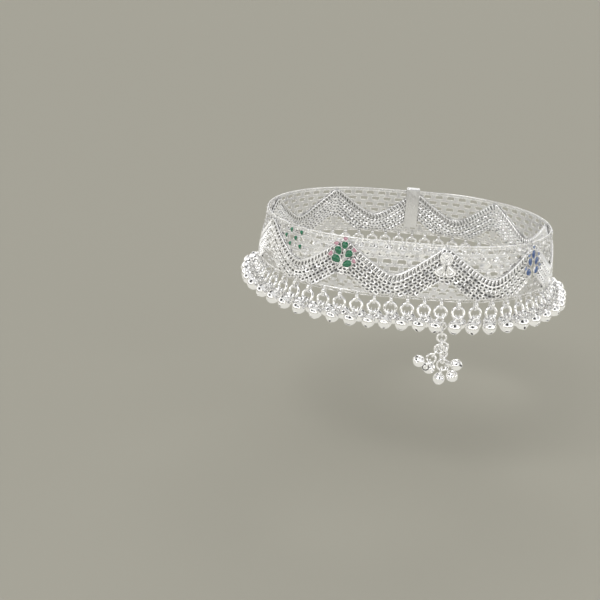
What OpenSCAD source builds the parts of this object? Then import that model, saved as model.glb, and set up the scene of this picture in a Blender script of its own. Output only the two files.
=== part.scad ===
// Woven silver anklet with enamelled leaf sprigs and a fringe of round bells.
// Millimetres, +Z up, the front is towards -Y, the origin is the middle of the opening.

/* [Ankle opening] */
// Half the length of the oval opening, at mid height of the band
opening_a = 45; // [42:0.5:48]
// Half the width of the oval opening, at mid height of the band
opening_b = 35; // [34:0.5:38]

/* [Band] */
// Height of the band
band_h = 16.4; // [15:0.2:18]
// Outward slope of the band towards its lower edge, in degrees
flare = 6; // [4:0.5:8]
// Thickness of the dense woven ribbon and the two rims
ribbon_t = 1.5; // [1.3:0.1:1.8]
// Thickness of the open net between the ribbon and the rims
net_t = 0.7; // [0.6:0.1:0.9]
// Height of the rim along each edge
rim_h = 1; // [0.8:0.1:1.2]

/* [Wave and net] */
// Number of waves of the ribbon round the band
waves = 9; // [9:1:9]
// Depth of a trough of the ribbon's upper edge, below the top of the band
trough_d = 9.6; // [9:0.1:10]
// Half the width of the net panel below each peak
low_panel_w = 7.4; // [6:0.2:8]
// Height of the net panel below each peak
low_panel_h = 4.6; // [4:0.2:5]
// Width of one gap of the net
gap_w = 2.1; // [1.8:0.1:2.2]
// Height of one gap of the net
gap_h = 1.25; // [1:0.05:1.3]
// Distance from one row of gaps to the next
row_step = 2.1; // [2:0.05:2.2]

/* [Bells] */
// Number of jump rings round the lower edge
units = 54; // [48:2:54]
// Radius of a bell of the fringe
bell_r = 2; // [1.7:0.05:2]
// Wall of a bell
bell_wall = 0.35; // [0.3:0.05:0.45]
// Radius of a bell of the tassel
small_bell_r = 1.75; // [1.5:0.05:1.75]
// Radius of a jump ring, to the middle of its wire
ring_r = 1.7; // [1.65:0.05:1.75]
// Radius of a jump ring's wire
ring_wire = 0.42; // [0.36:0.02:0.42]
// How far the rings lean outwards at the front, in degrees
lean = 8; // [6:1:10]
// How much further they lean outwards at the sides, in degrees
side_lean = 26; // [20:1:30]

/* [Hidden] */
$fn = 48;
// facets of the band's bends
band_fn = 240;

// the opening is an oval of two half circles and two straight stretches
flat = opening_a - opening_b;
bend_r = opening_b;
bend_len = PI * bend_r;
girth = 4 * flat + 2 * bend_len;

// stations are fractions of the way round, from the middle of the front towards +X
WAVE_START = 0.039;
UNIT_START = 0.039;
CLASP_WAVE = 4;
TASSEL_UNIT = 0;
function peak(i) = WAVE_START + i / waves;
function trough(i) = WAVE_START + (i - 0.5) / waves;
function unit(k) = UNIT_START + k / units;
// the two ends of the band meet beside an eyelet
clasp_at = peak(CLASP_WAVE) + 0.25 / units;
function run(f) = (f - floor(f + flat / girth)) * girth;
// middle of the bend and bearing of its outward normal, at a length s from the front
function station(s) = s < flat ? [s, 0]
    : s < flat + bend_len ? [flat, (s - flat) / bend_r * 180 / PI]
    : s < 3 * flat + bend_len ? [2 * flat + bend_len - s, 180]
    : [-flat, 180 + (s - 3 * flat - bend_len) / bend_r * 180 / PI];

// net layout
top_z = band_h / 2;
slope = tan(flare);
panel_w = girth / waves;
net_in = 0.35;
net_step = panel_w / 7;
first_row = 1.75;
ROWS = [[-2.5, -1.5, -0.5, 0.5, 1.5, 2.5], [-2, -1, 0, 1, 2], [-0.5, 0.5]];
wave_round = 0.25;
wave_steps = 8;
wave_share = 0.94;
window_reach = 7;

// eyelets, bells and rings
lug_r = 1.2;
lug_hole = 0.68;
lug_t = 0.6;
lug_drop = 1.25;
neck_w = 1.3;
neck_bite = 0.35;
ring_drop = 0.14;
eye_r = 0.9;
eye_wire = 0.25;
eye_sink = 0.3;
eye_turn = 24;
eye_tilt = 12;
outer_splay = 31;
inner_splay = 51;
tassel_lean = 5;
link_wire = 0.25;
slit_w = 0.5;
slit_depth = 0.9;
clear = 0.05;

// enamel work
setting_t = 0.55;
pocket_d = 0.32;
rim_w = 0.26;
setting_off = 0.1;
twig_w = 0.4;
tip_len = 1.3;
tip_gap = 0.12;
tip_share = 0.62;
// leaves of a sprig: middle along the band and upwards, length, width, turn to the left, twig
LEAF_X = 0;
LEAF_Z = 1;
LEAF_LEN = 2;
LEAF_W = 3;
LEAF_TURN = 4;
LEAF_TWIG = 5;
GREEN_LEAVES = [
    [0.3, 2.6, 2.0, 1.4, 0, 0.6],
    [-1.5, 0.9, 2.4, 1.5, 20, 2.0],
    [1.6, 0.3, 2.3, 1.5, -50, 0.6],
    [-1.9, -1.5, 2.5, 1.8, 55, 0.8],
    [1.4, -2.6, 2.6, 1.5, -62, 0.9]];
BLUE_LEAVES = [
    [0, 2.3, 2.7, 1.1, 0, 0.6],
    [-1.4, 0.3, 2.3, 1.3, 20, 2.2],
    [1.7, 0.3, 2.3, 1.3, -22, 2.6],
    [-1.9, -2.7, 2.2, 1.5, 50, 1.2],
    [1.8, -2.5, 2.2, 1.3, -45, 1.2]];
NET_LEAVES = [[-1, 0], [0, 0], [-1.5, 1], [-0.5, 1], [-1, 2], [0, 2]];
net_leaf = [1.4, 1];
net_leaf_t = 0.3;
sprig_z = 3.2;
// the blue sprig sits a little before its peak and lower
blue_back = 1.2;
blue_drop = 0.7;

// places a child at a station, its -Y outwards, at a distance outside the opening
module at(f, off = 0) {
    stop = station(run(f));
    reach = bend_r + off;
    translate([stop[0] + reach * sin(stop[1]), -reach * cos(stop[1]), 0])
        rotate([0, 0, stop[1]])
            children();
}

// a child drawn flat in X and Y stands on the outside of the sloping band, at height z
module on_band(f, z, off) {
    at(f, off - z * slope)
        translate([0, 0, z])
            rotate([90 - flare, 0, 0])
                children();
}

// a sloping wall all the way round, between two distances outside the opening
module wall(inner, outer, low, high) {
    profile = [
        [bend_r + inner - low * slope, low],
        [bend_r + outer - low * slope, low],
        [bend_r + outer - high * slope, high],
        [bend_r + inner - high * slope, high]];
    for (half = [0, 180])
        rotate([0, 0, half]) {
            translate([flat, 0, 0])
                rotate([0, 0, -90])
                    rotate_extrude(angle = 180, $fn = band_fn)
                        polygon(profile);
            rotate([90, 0, -90])
                linear_extrude(height = 2 * flat, center = true)
                    polygon(profile);
        }
}

// the ribbon's upper edge from 0 in a trough to 1 at a peak: straight flanks and a rounded trough
function wave_rise(t) = (sqrt(t * t + wave_round * wave_round) - wave_round)
    / (sqrt(1 + wave_round * wave_round) - wave_round);
function wave_z(t) = top_z - trough_d + (trough_d - rim_h) * wave_rise(t);

module upper_window() {
    half = panel_w / 2 * wave_share;
    rotate([90, 0, 0])
        linear_extrude(height = 2 * window_reach, center = true)
            polygon([for (i = [-wave_steps:wave_steps]) [i / wave_steps * half, wave_z(i / wave_steps)]]);
}

module lower_window() {
    low = rim_h - top_z;
    rotate([90, 0, 0])
        linear_extrude(height = 2 * window_reach, center = true)
            polygon([[-low_panel_w, low], [low_panel_w, low], [0, low + low_panel_h]]);
}

module net_gaps() {
    for (i = [0:waves - 1], row = [0:len(ROWS) - 1], step = ROWS[row])
        at(trough(i) + step * net_step / girth, net_in)
            translate([0, 0, top_z - first_row - row * row_step])
                cube([gap_w, 6, gap_h], center = true);
}

// an eyelet on a short neck that is soldered into the rim
module lug() {
    neck = lug_drop + neck_bite;
    rotate([0, 90, 0])
        linear_extrude(height = lug_t, center = true)
            difference() {
                union() {
                    circle(lug_r);
                    translate([-neck, -neck_w / 2]) square([neck - 0.9, neck_w]);
                }
                circle(lug_hole);
            }
}

// reach and height of a lug's hole
lug_off = ribbon_t / 2 + top_z * slope;
lug_z = -top_z - lug_drop;

module woven_band() {
    color("silver") {
        difference() {
            union() {
                difference() {
                    wall(0, ribbon_t, -top_z, top_z);
                    for (i = [0:waves - 1]) {
                        at(trough(i)) upper_window();
                        at(peak(i)) lower_window();
                    }
                }
                wall(net_in, net_in + net_t, rim_h / 2 - top_z, top_z - rim_h / 2);
            }
            net_gaps();
            at(clasp_at) cube([1, 12, 2 * band_h], center = true);
        }
        for (k = [0:units - 1])
            at(unit(k), lug_off) translate([0, 0, lug_z]) lug();
    }
}

// a saddle that grips the two ends of the band from above
module clasp() {
    grip_w = 4.6;
    grip_t = 0.7;
    room = 0.15;
    low = 3 - top_z;
    color("silver")
        difference() {
            intersection() {
                wall(-grip_t - room, ribbon_t + grip_t + room, low, top_z + grip_t + room);
                at(clasp_at) cube([grip_w, 16, 2 * band_h], center = true);
            }
            wall(-room, ribbon_t + room, low - 1, top_z + room);
        }
}

module torus(r, wire) {
    rotate_extrude()
        translate([r, 0])
            circle(wire, $fn = 24);
}

// hangs a child from a jump ring's upper wire, at unit k
module from_lug(k) {
    at(unit(k), lug_off)
        translate([0, 0, lug_z - ring_drop])
            rotate([-unit_lean(k), 0, 0])
                children();
}
function unit_lean(k) = lean + side_lean * pow(sin(station(run(unit(k)))[1]), 2) + 3 * sin(k * 97);

// moves a child to a bell's place on the ring, on the left (-1) or the right (1)
module on_ring(side) {
    translate([side * ring_r * sin(eye_turn), 0, -ring_r - ring_r * cos(eye_turn)])
        rotate([0, -side * eye_tilt, 0])
            children();
}

// a hollow round bell with a slit, hanging from its eye at the origin
module bell(r, spin) {
    arm = r + eye_r + eye_wire - eye_sink;
    difference() {
        union() {
            translate([0, 0, -arm]) sphere(r);
            rotate([0, 90, 0]) torus(eye_r, eye_wire);
        }
        translate([0, 0, -arm]) sphere(r - bell_wall);
        translate([0, 0, -arm - r])
            rotate([0, 0, spin])
                cube([slit_w, 2 * r, 2 * slit_depth], center = true);
    }
}

module jump_rings() {
    color("gainsboro")
        for (k = [0:units - 1])
            from_lug(k) translate([0, 0, -ring_r]) rotate([90, 0, 0]) torus(ring_r, ring_wire);
}

module outer_bells() {
    color("gainsboro")
        for (k = [0:units - 1])
            from_lug(k) on_ring(-1) rotate([-outer_splay - 1.5 * sin(k * 61 + 61), 0, 0]) bell(bell_r, k * 67);
}

module inner_bells() {
    color("gainsboro")
        for (k = [0:units - 1])
            if (k != TASSEL_UNIT)
                from_lug(k) on_ring(1) rotate([inner_splay + 1.5 * sin(k * 83), 0, 0]) bell(bell_r, k * 41);
}

// a link in the X and Z plane, its upper bend round the origin; with no straight it is round
module oval_link(r, straight, wire) {
    if (straight == 0)
        rotate([90, 0, 0]) torus(r, wire);
    else {
        for (end = [0, 1])
            translate([0, 0, -end * straight])
                rotate([90, 0, 0])
                    rotate([0, 0, end * 180])
                        rotate_extrude(angle = 180)
                            translate([r, 0])
                                circle(wire, $fn = 24);
        for (side = [-1, 1])
            translate([side * r, 0, -straight])
                cylinder(h = straight, r = wire, $fn = 24);
    }
}

// a child hangs upright from the tassel's place on its jump ring
module from_tassel_ring() {
    from_lug(TASSEL_UNIT)
        on_ring(1)
            rotate([unit_lean(TASSEL_UNIT), 0, 0])
                rotate([0, eye_tilt - tassel_lean, 0])
                    children();
}

// links of the tassel: middle of the upper bend, bend radius, straight part, turn, tilt
LINK_X = 0;
LINK_Y = 1;
LINK_Z = 2;
LINK_R = 3;
LINK_LEN = 4;
LINK_TURN = 5;
LINK_TILT = 6;
TASSEL_LINKS = [
    [0.1, 0.1, 0, 1, 1.4, 90, 0],
    [0.1, 0.3, -2.7, 1.05, 0, 0, -10],
    [0, 0.2, -4.05, 1.05, 4.45, 90, 0],
    [-0.6, -0.15, -9.65, 1.35, 0, 0, 0],
    [0.6, 0.55, -9.25, 1.35, 0, 0, 0],
    [-1.9, -0.6, -10.7, 1.25, 4.1, 74, 30],
    [1, 0.3, -10.35, 1.3, 2.7, 113, 12],
    [0.6, 0.35, -14.95, 1.75, 0, 0, -5]];
// bells of the tassel: the link each hangs on, place round its lower bend, tilt, lean
BELL_LINK = 0;
BELL_PLACE = 1;
BELL_TILT = 2;
BELL_LEAN = 3;
TASSEL_BELLS = [
    [5, -39, -12, 101],
    [5, 59, -2, -24],
    [7, -21, -1, -13],
    [7, 37, 6, -12],
    [7, 99, 5, -41]];

module at_link(link) {
    from_tassel_ring()
        translate([link[LINK_X], link[LINK_Y], link[LINK_Z]])
            rotate([0, link[LINK_TILT], 0])
                rotate([0, 0, link[LINK_TURN]])
                    children();
}

module tassel_links() {
    color("gainsboro")
        for (link = TASSEL_LINKS)
            at_link(link) oval_link(link[LINK_R], link[LINK_LEN], link_wire);
}

module tassel_bells() {
    color("gainsboro")
        for (place = TASSEL_BELLS) {
            link = TASSEL_LINKS[place[BELL_LINK]];
            at_link(link)
                translate([0, 0, -link[LINK_LEN]])
                    rotate([0, -place[BELL_PLACE], 0])
                        translate([0, 0, -link[LINK_R]])
                            rotate([0, place[BELL_TILT], 0])
                                rotate([place[BELL_LEAN], 0, 0])
                                    bell(small_bell_r, 30);
        }
}

// a pointed oval between two arcs, grown all round by an edge
module leaf(length, width, grow = 0) {
    l = length + 2 * grow;
    w = width + 2 * grow;
    r = (l * l + w * w) / (4 * w);
    intersection() {
        translate([r - w / 2, 0]) circle(r, $fn = 96);
        translate([w / 2 - r, 0]) circle(r, $fn = 96);
    }
}

module at_leaf(row) {
    translate([row[LEAF_X], row[LEAF_Z]])
        rotate(row[LEAF_TURN])
            children();
}

// a tip lies beyond the point of its leaf
module at_tip(row) {
    at_leaf(row)
        translate([0, row[LEAF_LEN] / 2 + tip_gap + tip_len / 2])
            children();
}

module setting_outline(leaves) {
    for (row = leaves) {
        at_leaf(row) {
            leaf(row[LEAF_LEN], row[LEAF_W], rim_w);
            translate([-twig_w / 2, -row[LEAF_LEN] / 2 - row[LEAF_TWIG]])
                square([twig_w, row[LEAF_TWIG] + rim_w]);
        }
        at_tip(row) leaf(tip_len, row[LEAF_W] * tip_share, rim_w);
    }
}

module sprig_setting(leaves) {
    difference() {
        union() {
            linear_extrude(height = setting_t) setting_outline(leaves);
            children();
        }
        for (row = leaves)
            translate([0, 0, setting_t - pocket_d])
                linear_extrude(height = 1) {
                    at_leaf(row) leaf(row[LEAF_LEN], row[LEAF_W]);
                    at_tip(row) leaf(tip_len, row[LEAF_W] * tip_share);
                }
    }
}

module leaf_enamel(leaves) {
    for (row = leaves)
        translate([0, 0, setting_t - pocket_d + clear])
            linear_extrude(height = pocket_d)
                at_leaf(row) leaf(row[LEAF_LEN], row[LEAF_W], -clear);
}

module tip_enamel(leaves) {
    for (row = leaves)
        translate([0, 0, setting_t - pocket_d + clear])
            linear_extrude(height = pocket_d)
                at_tip(row) leaf(tip_len, row[LEAF_W] * tip_share, -clear);
}

module on_green_peak() {
    on_band(peak(-1), sprig_z, ribbon_t + setting_off) children();
}

module on_blue_peak() {
    on_band(peak(1) - blue_back / girth, sprig_z - blue_drop, ribbon_t + setting_off) children();
}

// the stem is an arc from the top leaf down to the left
module green_sprig_setting() {
    stem_r = 7.1;
    stem_arc = 50;
    stem_turn = -38;
    color("silver")
        on_green_peak()
            sprig_setting(GREEN_LEAVES)
                translate([0.33 - stem_r, 0.2, 0])
                    rotate([0, 0, stem_turn])
                        rotate_extrude(angle = stem_arc, $fn = 96)
                            translate([stem_r - twig_w / 2, 0])
                                square([twig_w, setting_t]);
}

module blue_sprig_setting() {
    color("silver")
        on_blue_peak()
            sprig_setting(BLUE_LEAVES)
                translate([-twig_w / 2, -4.9, 0])
                    cube([twig_w, 6, setting_t]);
}

module green_enamel_leaves() {
    color("seagreen") on_green_peak() leaf_enamel(GREEN_LEAVES);
}

module pink_enamel_tips() {
    color("pink") on_green_peak() tip_enamel(GREEN_LEAVES);
}

module blue_enamel_leaves() {
    color("midnightblue") on_blue_peak() leaf_enamel(BLUE_LEAVES);
}

module sky_enamel_tips() {
    color("lightskyblue") on_blue_peak() tip_enamel(BLUE_LEAVES);
}

// six small leaves on the flat plates of the net, beside the green sprig
module net_enamel_leaves() {
    color("seagreen")
        for (place = NET_LEAVES)
            on_band(trough(-1) + place[0] * net_step / girth,
                top_z - first_row - place[1] * row_step, net_in + net_t + clear)
                linear_extrude(height = net_leaf_t)
                    rotate(20) leaf(net_leaf.x, net_leaf.y);
}

// a round collet over two drooping petals
module trefoil() {
    collet_z = 1.4;
    collet_r = 1.55;
    stud_r = 0.5;
    petal = [3.4, 1.9];
    union() {
        translate([0, collet_z, 0]) {
            cylinder(h = 0.4, r = collet_r);
            translate([0, 0, 0.4]) torus(collet_r, 0.28);
            translate([0, 0, 0.4]) torus(0.85, 0.2);
            translate([0, 0, stud_r]) sphere(stud_r);
        }
        for (side = [-1, 1])
            translate([side * 1.15, -1.75, 0])
                rotate([0, 0, side * 24])
                    difference() {
                        linear_extrude(height = 0.6) leaf(petal.x, petal.y, 0.15);
                        translate([0, 0, 0.35])
                            linear_extrude(height = 1) leaf(petal.x, petal.y, -0.2);
                    }
    }
}

module trefoil_on(i) {
    color("silver") on_band(peak(i), sprig_z, ribbon_t + setting_off) trefoil();
}
module trefoil_front() trefoil_on(0);
module trefoil_right() trefoil_on(2);
module trefoil_back_right() trefoil_on(3);
module trefoil_back_left() trefoil_on(5);
module trefoil_left() trefoil_on(6);

woven_band();
clasp();
jump_rings();
outer_bells();
inner_bells();
tassel_links();
tassel_bells();
green_sprig_setting();
green_enamel_leaves();
pink_enamel_tips();
blue_sprig_setting();
blue_enamel_leaves();
sky_enamel_tips();
net_enamel_leaves();
trefoil_front();
trefoil_right();
trefoil_back_right();
trefoil_back_left();
trefoil_left();
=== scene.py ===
import math
import random

import bmesh
import bpy
from mathutils import Matrix, Vector


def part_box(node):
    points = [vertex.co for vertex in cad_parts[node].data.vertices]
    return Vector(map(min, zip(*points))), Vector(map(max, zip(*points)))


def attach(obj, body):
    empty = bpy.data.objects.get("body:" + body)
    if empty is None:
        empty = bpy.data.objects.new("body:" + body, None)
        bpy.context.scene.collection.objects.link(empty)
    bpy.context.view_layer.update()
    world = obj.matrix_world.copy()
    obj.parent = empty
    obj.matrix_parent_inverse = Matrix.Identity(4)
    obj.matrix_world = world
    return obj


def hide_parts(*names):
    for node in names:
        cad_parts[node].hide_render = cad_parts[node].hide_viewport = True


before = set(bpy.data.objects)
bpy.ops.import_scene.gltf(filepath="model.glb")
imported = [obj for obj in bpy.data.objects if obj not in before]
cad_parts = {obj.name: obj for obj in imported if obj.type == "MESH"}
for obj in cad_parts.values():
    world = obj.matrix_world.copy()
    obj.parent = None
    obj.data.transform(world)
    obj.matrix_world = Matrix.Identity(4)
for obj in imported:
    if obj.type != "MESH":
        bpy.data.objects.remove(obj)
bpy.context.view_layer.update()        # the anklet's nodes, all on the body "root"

# Pieces are modelled in millimetres and made metres when they are finished.
MM = 0.001
X = Vector((1, 0, 0))
Y = Vector((0, 1, 0))
FRONT = Vector((0, -1, 0))
shuffle = random.Random(7)

# The oval opening at mid height of the band: two half circles and two straight stretches
STRAIGHT = 10
BEND_R = 35
BEND_LEN = math.pi * BEND_R
GIRTH = 4 * STRAIGHT + 2 * BEND_LEN

# The band, as far up as its node reaches
TOP_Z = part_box("woven_band")[1].z / MM
RIM_H = 1
LOW_Z = RIM_H - TOP_Z
FLARE = math.radians(6)
RIBBON_T = 1.5
RIBBON_FACE = 1.2
RIBBON_CORE = (0.45, 0.85)
RIBBON_BACK = 0.2
RIBBON_LEAST = 0.3
CORE_GAP = 0.4
NET_OFF = 0.7
# smooth wires along the rims: height, distance outwards, radius
RIM_WIRES = [
    (TOP_Z - 0.17, NET_OFF, 0.17),
    (TOP_Z - 1.05, NET_OFF, 0.12),
    (LOW_Z + 0.05, NET_OFF + 0.1, 0.15)]

# Waves of the ribbon and the units of the fringe
WAVES = 9
WAVE_START = 0.039
TROUGH_D = 9.6
WAVE_ROUND = 0.25
WAVE_SHARE = 0.94
LOW_PANEL_W = 7.4
LOW_PANEL_H = 4.6
UNITS = 54
UNIT_START = 0.039
CLASP_WAVE = 4
TASSEL_UNIT = 0
PANEL_W = GIRTH / WAVES

# Border of the ribbon, then rows of mail below it
EDGE_WIRE = 0.3
BACK_WIRE = 0.22
SECOND_WIRE = 0.18
ARCH_WIRE = 0.16
LADDER_D = 1.15
LADDER_PITCH = 1.2
LADDER_R = 0.4
LADDER_WIRE = 0.27
LADDER_PULL = 0.34
LADDER_LEAN = 38
LADDER_SLANT = -16
LADDER_FOLLOW = 0.6
SECOND_WIRE_D = 2.1
MAIL_START = 2.75
MAIL_R = 0.46
MAIL_WIRE = 0.3
MAIL_PULL = 0.18
MAIL_PITCH = 1.35
MAIL_STEP = 1.12
MAIL_LEAN = 20
MAIL_ROWS = 10
MAIL_TILT = 9
MAIL_TIP = 12

# Edging along both rims: links, with a bead where two of them meet
EDGE_LINK_R = 0.34
EDGE_LINK_WIRE = 0.2
EDGE_BEAD_R = 0.4
EDGE_BEAD_FORM = (1.1, 0.9, 0.7, 1)
TOP_EDGING_Z = TOP_Z - 0.6
TOP_EDGING_PULL = 1.02
LOW_EDGING_Z = 0.5 - TOP_Z
LOW_EDGING_PULL = 1.45

# Net over the ribbon, and the finer one under its peaks
NET_TILES = 7
NET_STEP = PANEL_W / NET_TILES
NET_ROWS = [6.45, 4.35, 2.25, 0.15]
LOW_NET_TILES = 12
LOW_NET_STEP = PANEL_W / LOW_NET_TILES
TILE_LAP = 1.05
SHEET_T = 0.24
GAP_WIRE = 0.15
# a tile of the coarse net: height, size of its gap, taper
NET_TILE = (2.12, 2.5, 1.2, 0.1)
TILE_REACH = 1.05
NET_PLATE = (1.45, 1.35)
LOW_NET_PLATE = (1.0, 0.9)
PLATE_OFF = NET_OFF + 0.16
LOW_PLATE_OFF = NET_OFF + 0.14
PLATE_UP = 0.22
PLATE_SINK = 0.4
PLATE_TIP = 14
NET_EYE_DOWN = 0.8
# rows of the finer net: height, places from the peak and width in steps, height, size of a gap
LOW_NET_ROWS = [
    (-3.7, (-1, 1), 2, 1.35, 2.1, 1.0),
    (-4.93, (-2.5, -1.5, -0.5, 0.5, 1.5, 2.5), 1, 1.1, 0.85, 0.75),
    (-5.93, (-2, 0, 2), 2, 0.9, 2.1, 0.55),
    (-6.83, (-3, -1, 1, 3), 2, 0.95, 0.85, 0.6)]

# Eyelets, rings and bells
LUG_OFF = RIBBON_T / 2 + TOP_Z * math.tan(FLARE)
LUG_Z = -TOP_Z - 1.25
HANGER_R = 0.94
HANGER_WIRE = 0.19
HANGER_PULL = 0.3
HANGER_HALF_GAP = 0.22
RING_DROP = 0.14
RING_R = 1.7
RING_WIRE = 0.42
LINK_WIRE = 0.31
LEAN = 8
SIDE_LEAN = 26
LEAN_SWAY = 3
EYE_R = 0.9
EYE_WIRE = 0.25
EYE_SINK = 0.3
EYE_TURN = math.radians(24)
EYE_TILT = 12
OUTER_SPLAY = 31
INNER_SPLAY = 51
SPLAY_SWAY = 1.5
TASSEL_LEAN = 5
BELL_R = 2
SMALL_BELL_R = 1.75
BELL_WALL = 0.3
SEAM_W = 0.11
SEAM_BULGE = 1.05
SLIT_R = 0.27
SLIT_HALF = 0.62
LIP_R = 0.42
LIP_WIRE = 0.16

# Sprigs and trefoils
SPRIG_Z = 3.2
BLUE_BACK = 1.2
BLUE_DROP = 0.7
SETTING_OFF = 0.1
SETTING_T = 0.55
POCKET_D = 0.32
RIM_W = 0.17
LEAF_FULL = 1.05
LEAF_MORE = 0.35
TWIG_W = 0.4
TIP_LEN = 1.3
TIP_GAP = 0.12
TIP_SHARE = 0.713
TIP_MORE = 0.18
STEM_WIRE = 0.15
STEM_HALF_GAP = 0.2
STEM_LIFT = 0.35
# leaves of a sprig: middle along the band and upwards, length, width, turn to the left, twig
GREEN_LEAVES = [
    (0.3, 2.6, 2.0, 1.4, 0, 0.6),
    (-1.5, 0.9, 2.4, 1.5, 20, 2.0),
    (1.6, 0.3, 2.3, 1.5, -50, 0.6),
    (-1.9, -1.5, 2.5, 1.8, 55, 0.8),
    (1.4, -2.6, 2.6, 1.5, -62, 0.9)]
BLUE_LEAVES = [
    (0, 2.3, 2.7, 1.1, 0, 0.6),
    (-1.4, 0.3, 2.3, 1.3, 20, 2.2),
    (1.7, 0.3, 2.3, 1.3, -22, 2.6),
    (-1.9, -2.7, 2.2, 1.5, 50, 1.2),
    (1.8, -2.5, 2.2, 1.3, -45, 1.2)]
NET_LEAVES = [(-1, 0), (0, 0), (-1.5, 1), (-0.5, 1), (-1, 2), (0, 2)]
# from this straight part on, a link is a chain
CHAIN_FROM = 2
# links of the tassel: middle of the upper bend, bend radius, straight part, turn, tilt
TASSEL_LINKS = [
    (0.1, 0.1, 0, 1, 1.4, 90, 0),
    (0.1, 0.3, -2.7, 1.05, 0, 0, -10),
    (0, 0.2, -4.05, 1.05, 4.45, 90, 0),
    (-0.6, -0.15, -9.65, 1.35, 0, 0, 0),
    (0.6, 0.55, -9.25, 1.35, 0, 0, 0),
    (-1.9, -0.6, -10.7, 1.25, 4.1, 74, 30),
    (1, 0.3, -10.35, 1.3, 2.7, 113, 12),
    (0.6, 0.35, -14.95, 1.75, 0, 0, -5)]
# bells of the tassel: the link each hangs on, place round its lower bend, tilt, lean
TASSEL_BELLS = [(5, -39, -12, 101), (5, 59, -2, -24), (7, -21, -1, -13), (7, 37, 6, -12), (7, 99, 5, -41)]


def peak(i):
    return WAVE_START + i / WAVES


def trough(i):
    return WAVE_START + (i - 0.5) / WAVES


def unit(k):
    return UNIT_START + k / UNITS


def station(f):
    """Middle of the bend and bearing of the outward normal, a fraction f of the way round from the front."""
    s = (f - math.floor(f + STRAIGHT / GIRTH)) * GIRTH
    if s < STRAIGHT:
        return s, 0
    if s < STRAIGHT + BEND_LEN:
        return STRAIGHT, (s - STRAIGHT) / BEND_R
    if s < 3 * STRAIGHT + BEND_LEN:
        return 2 * STRAIGHT + BEND_LEN - s, math.pi
    return -STRAIGHT, math.pi + (s - 3 * STRAIGHT - BEND_LEN) / BEND_R


def upright(f, off):
    """A place beside the band: X runs along it, -Y points outwards and Z up."""
    x, bearing = station(f)
    reach = BEND_R + off
    spot = Vector((x + reach * math.sin(bearing), -reach * math.cos(bearing), 0))
    return Matrix.Translation(spot) @ Matrix.Rotation(bearing, 4, "Z")


def on_band(f, z, off):
    """A place on the sloping band: X runs along it, Y up its slope and Z outwards."""
    lift = Matrix.Translation((0, 0, z))
    return upright(f, off - z * math.tan(FLARE)) @ lift @ Matrix.Rotation(math.pi / 2 - FLARE, 4, "X")


def turn(degrees, axis):
    return Matrix.Rotation(math.radians(degrees), 4, axis)


def shift(x=0, y=0, z=0):
    return Matrix.Translation((x, y, z))


def phase(f):
    """0 in a trough of the ribbon and 1 at a peak."""
    part = (f - trough(0)) * WAVES % 1
    return 2 * min(part, 1 - part)


def ribbon_top(f):
    part = min(phase(f) / WAVE_SHARE, 1)
    rise = math.hypot(part, WAVE_ROUND) - WAVE_ROUND
    return TOP_Z - TROUGH_D + (TROUGH_D - RIM_H) * rise / (math.hypot(1, WAVE_ROUND) - WAVE_ROUND)


def ribbon_foot(f):
    from_peak = (1 - phase(f)) * PANEL_W / 2
    return LOW_Z + LOW_PANEL_H * max(0, 1 - (from_peak / LOW_PANEL_W) ** 2)


def ribbon_slope(f):
    near = 0.02 / WAVES
    return math.atan((ribbon_top(f + near) - ribbon_top(f - near)) / (2 * near * GIRTH))


# Modelling

def clear_selection():
    if bpy.context.object and bpy.context.object.mode != "OBJECT":
        bpy.ops.object.mode_set(mode="OBJECT")
    bpy.ops.object.select_all(action="DESELECT")


def named(name):
    """The primitive that was just added."""
    piece = bpy.context.object
    piece.name = name
    piece.data.name = name
    return piece


def select(piece, test, faces=False):
    """Edit mode with only the points, or the faces, whose place passes the test selected."""
    bpy.context.view_layer.objects.active = piece
    bpy.ops.object.mode_set(mode="EDIT")
    bpy.ops.mesh.select_mode(type="FACE" if faces else "VERT")
    bpy.ops.mesh.select_all(action="DESELECT")
    mesh = bmesh.from_edit_mesh(piece.data)
    for item in mesh.faces if faces else mesh.verts:
        if test(item.calc_center_median() if faces else item.co):
            item.select_set(True)
    mesh.select_flush_mode()
    bmesh.update_edit_mesh(piece.data)


def to_object():
    bpy.ops.object.mode_set(mode="OBJECT")


def shape(piece, rule):
    """Moves every point of a piece to where the rule puts it."""
    if piece.mode != "OBJECT":
        to_object()
    for point in piece.data.vertices:
        point.co = rule(point.co)
    piece.data.update()
    return piece


def moved(piece, place):
    piece.data.transform(place)
    return piece


def join(name, pieces):
    clear_selection()
    for piece in pieces:
        piece.select_set(True)
    bpy.context.view_layer.objects.active = pieces[0]
    if len(pieces) > 1:
        bpy.ops.object.join()
    return named(name)


def spread(name, master, places):
    """One copy of the master at each place, joined into one mesh. The master goes."""
    copies = []
    for place in places:
        copy = master.copy()
        copy.data = master.data.copy()
        copy.data.transform(place)
        bpy.context.collection.objects.link(copy)
        copies.append(copy)
    bpy.data.objects.remove(master)
    return join(name, copies)


def apply_modifier(piece, kind, **values):
    """Adds a modifier with those values and applies it."""
    clear_selection()
    piece.select_set(True)
    bpy.context.view_layer.objects.active = piece
    modifier = piece.modifiers.new(kind.lower(), kind)
    for key, value in values.items():
        setattr(modifier, key, value)
    bpy.ops.object.modifier_apply(modifier=modifier.name)
    return piece


def outward(piece):
    """Merges doubled points and turns all faces outwards."""
    select(piece, lambda p: True)
    bpy.ops.mesh.remove_doubles(threshold=0.0005)
    bpy.ops.mesh.normals_make_consistent(inside=False)
    to_object()
    return piece


def smooth(piece, degrees=60):
    clear_selection()
    piece.select_set(True)
    bpy.context.view_layer.objects.active = piece
    bpy.ops.object.shade_smooth_by_angle(angle=math.radians(degrees))
    return piece


def ring(name, radius, wire, around=12, across=6):
    clear_selection()
    bpy.ops.mesh.primitive_torus_add(
        major_radius=radius, minor_radius=wire, major_segments=around, minor_segments=across)
    return named(name)


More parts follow.
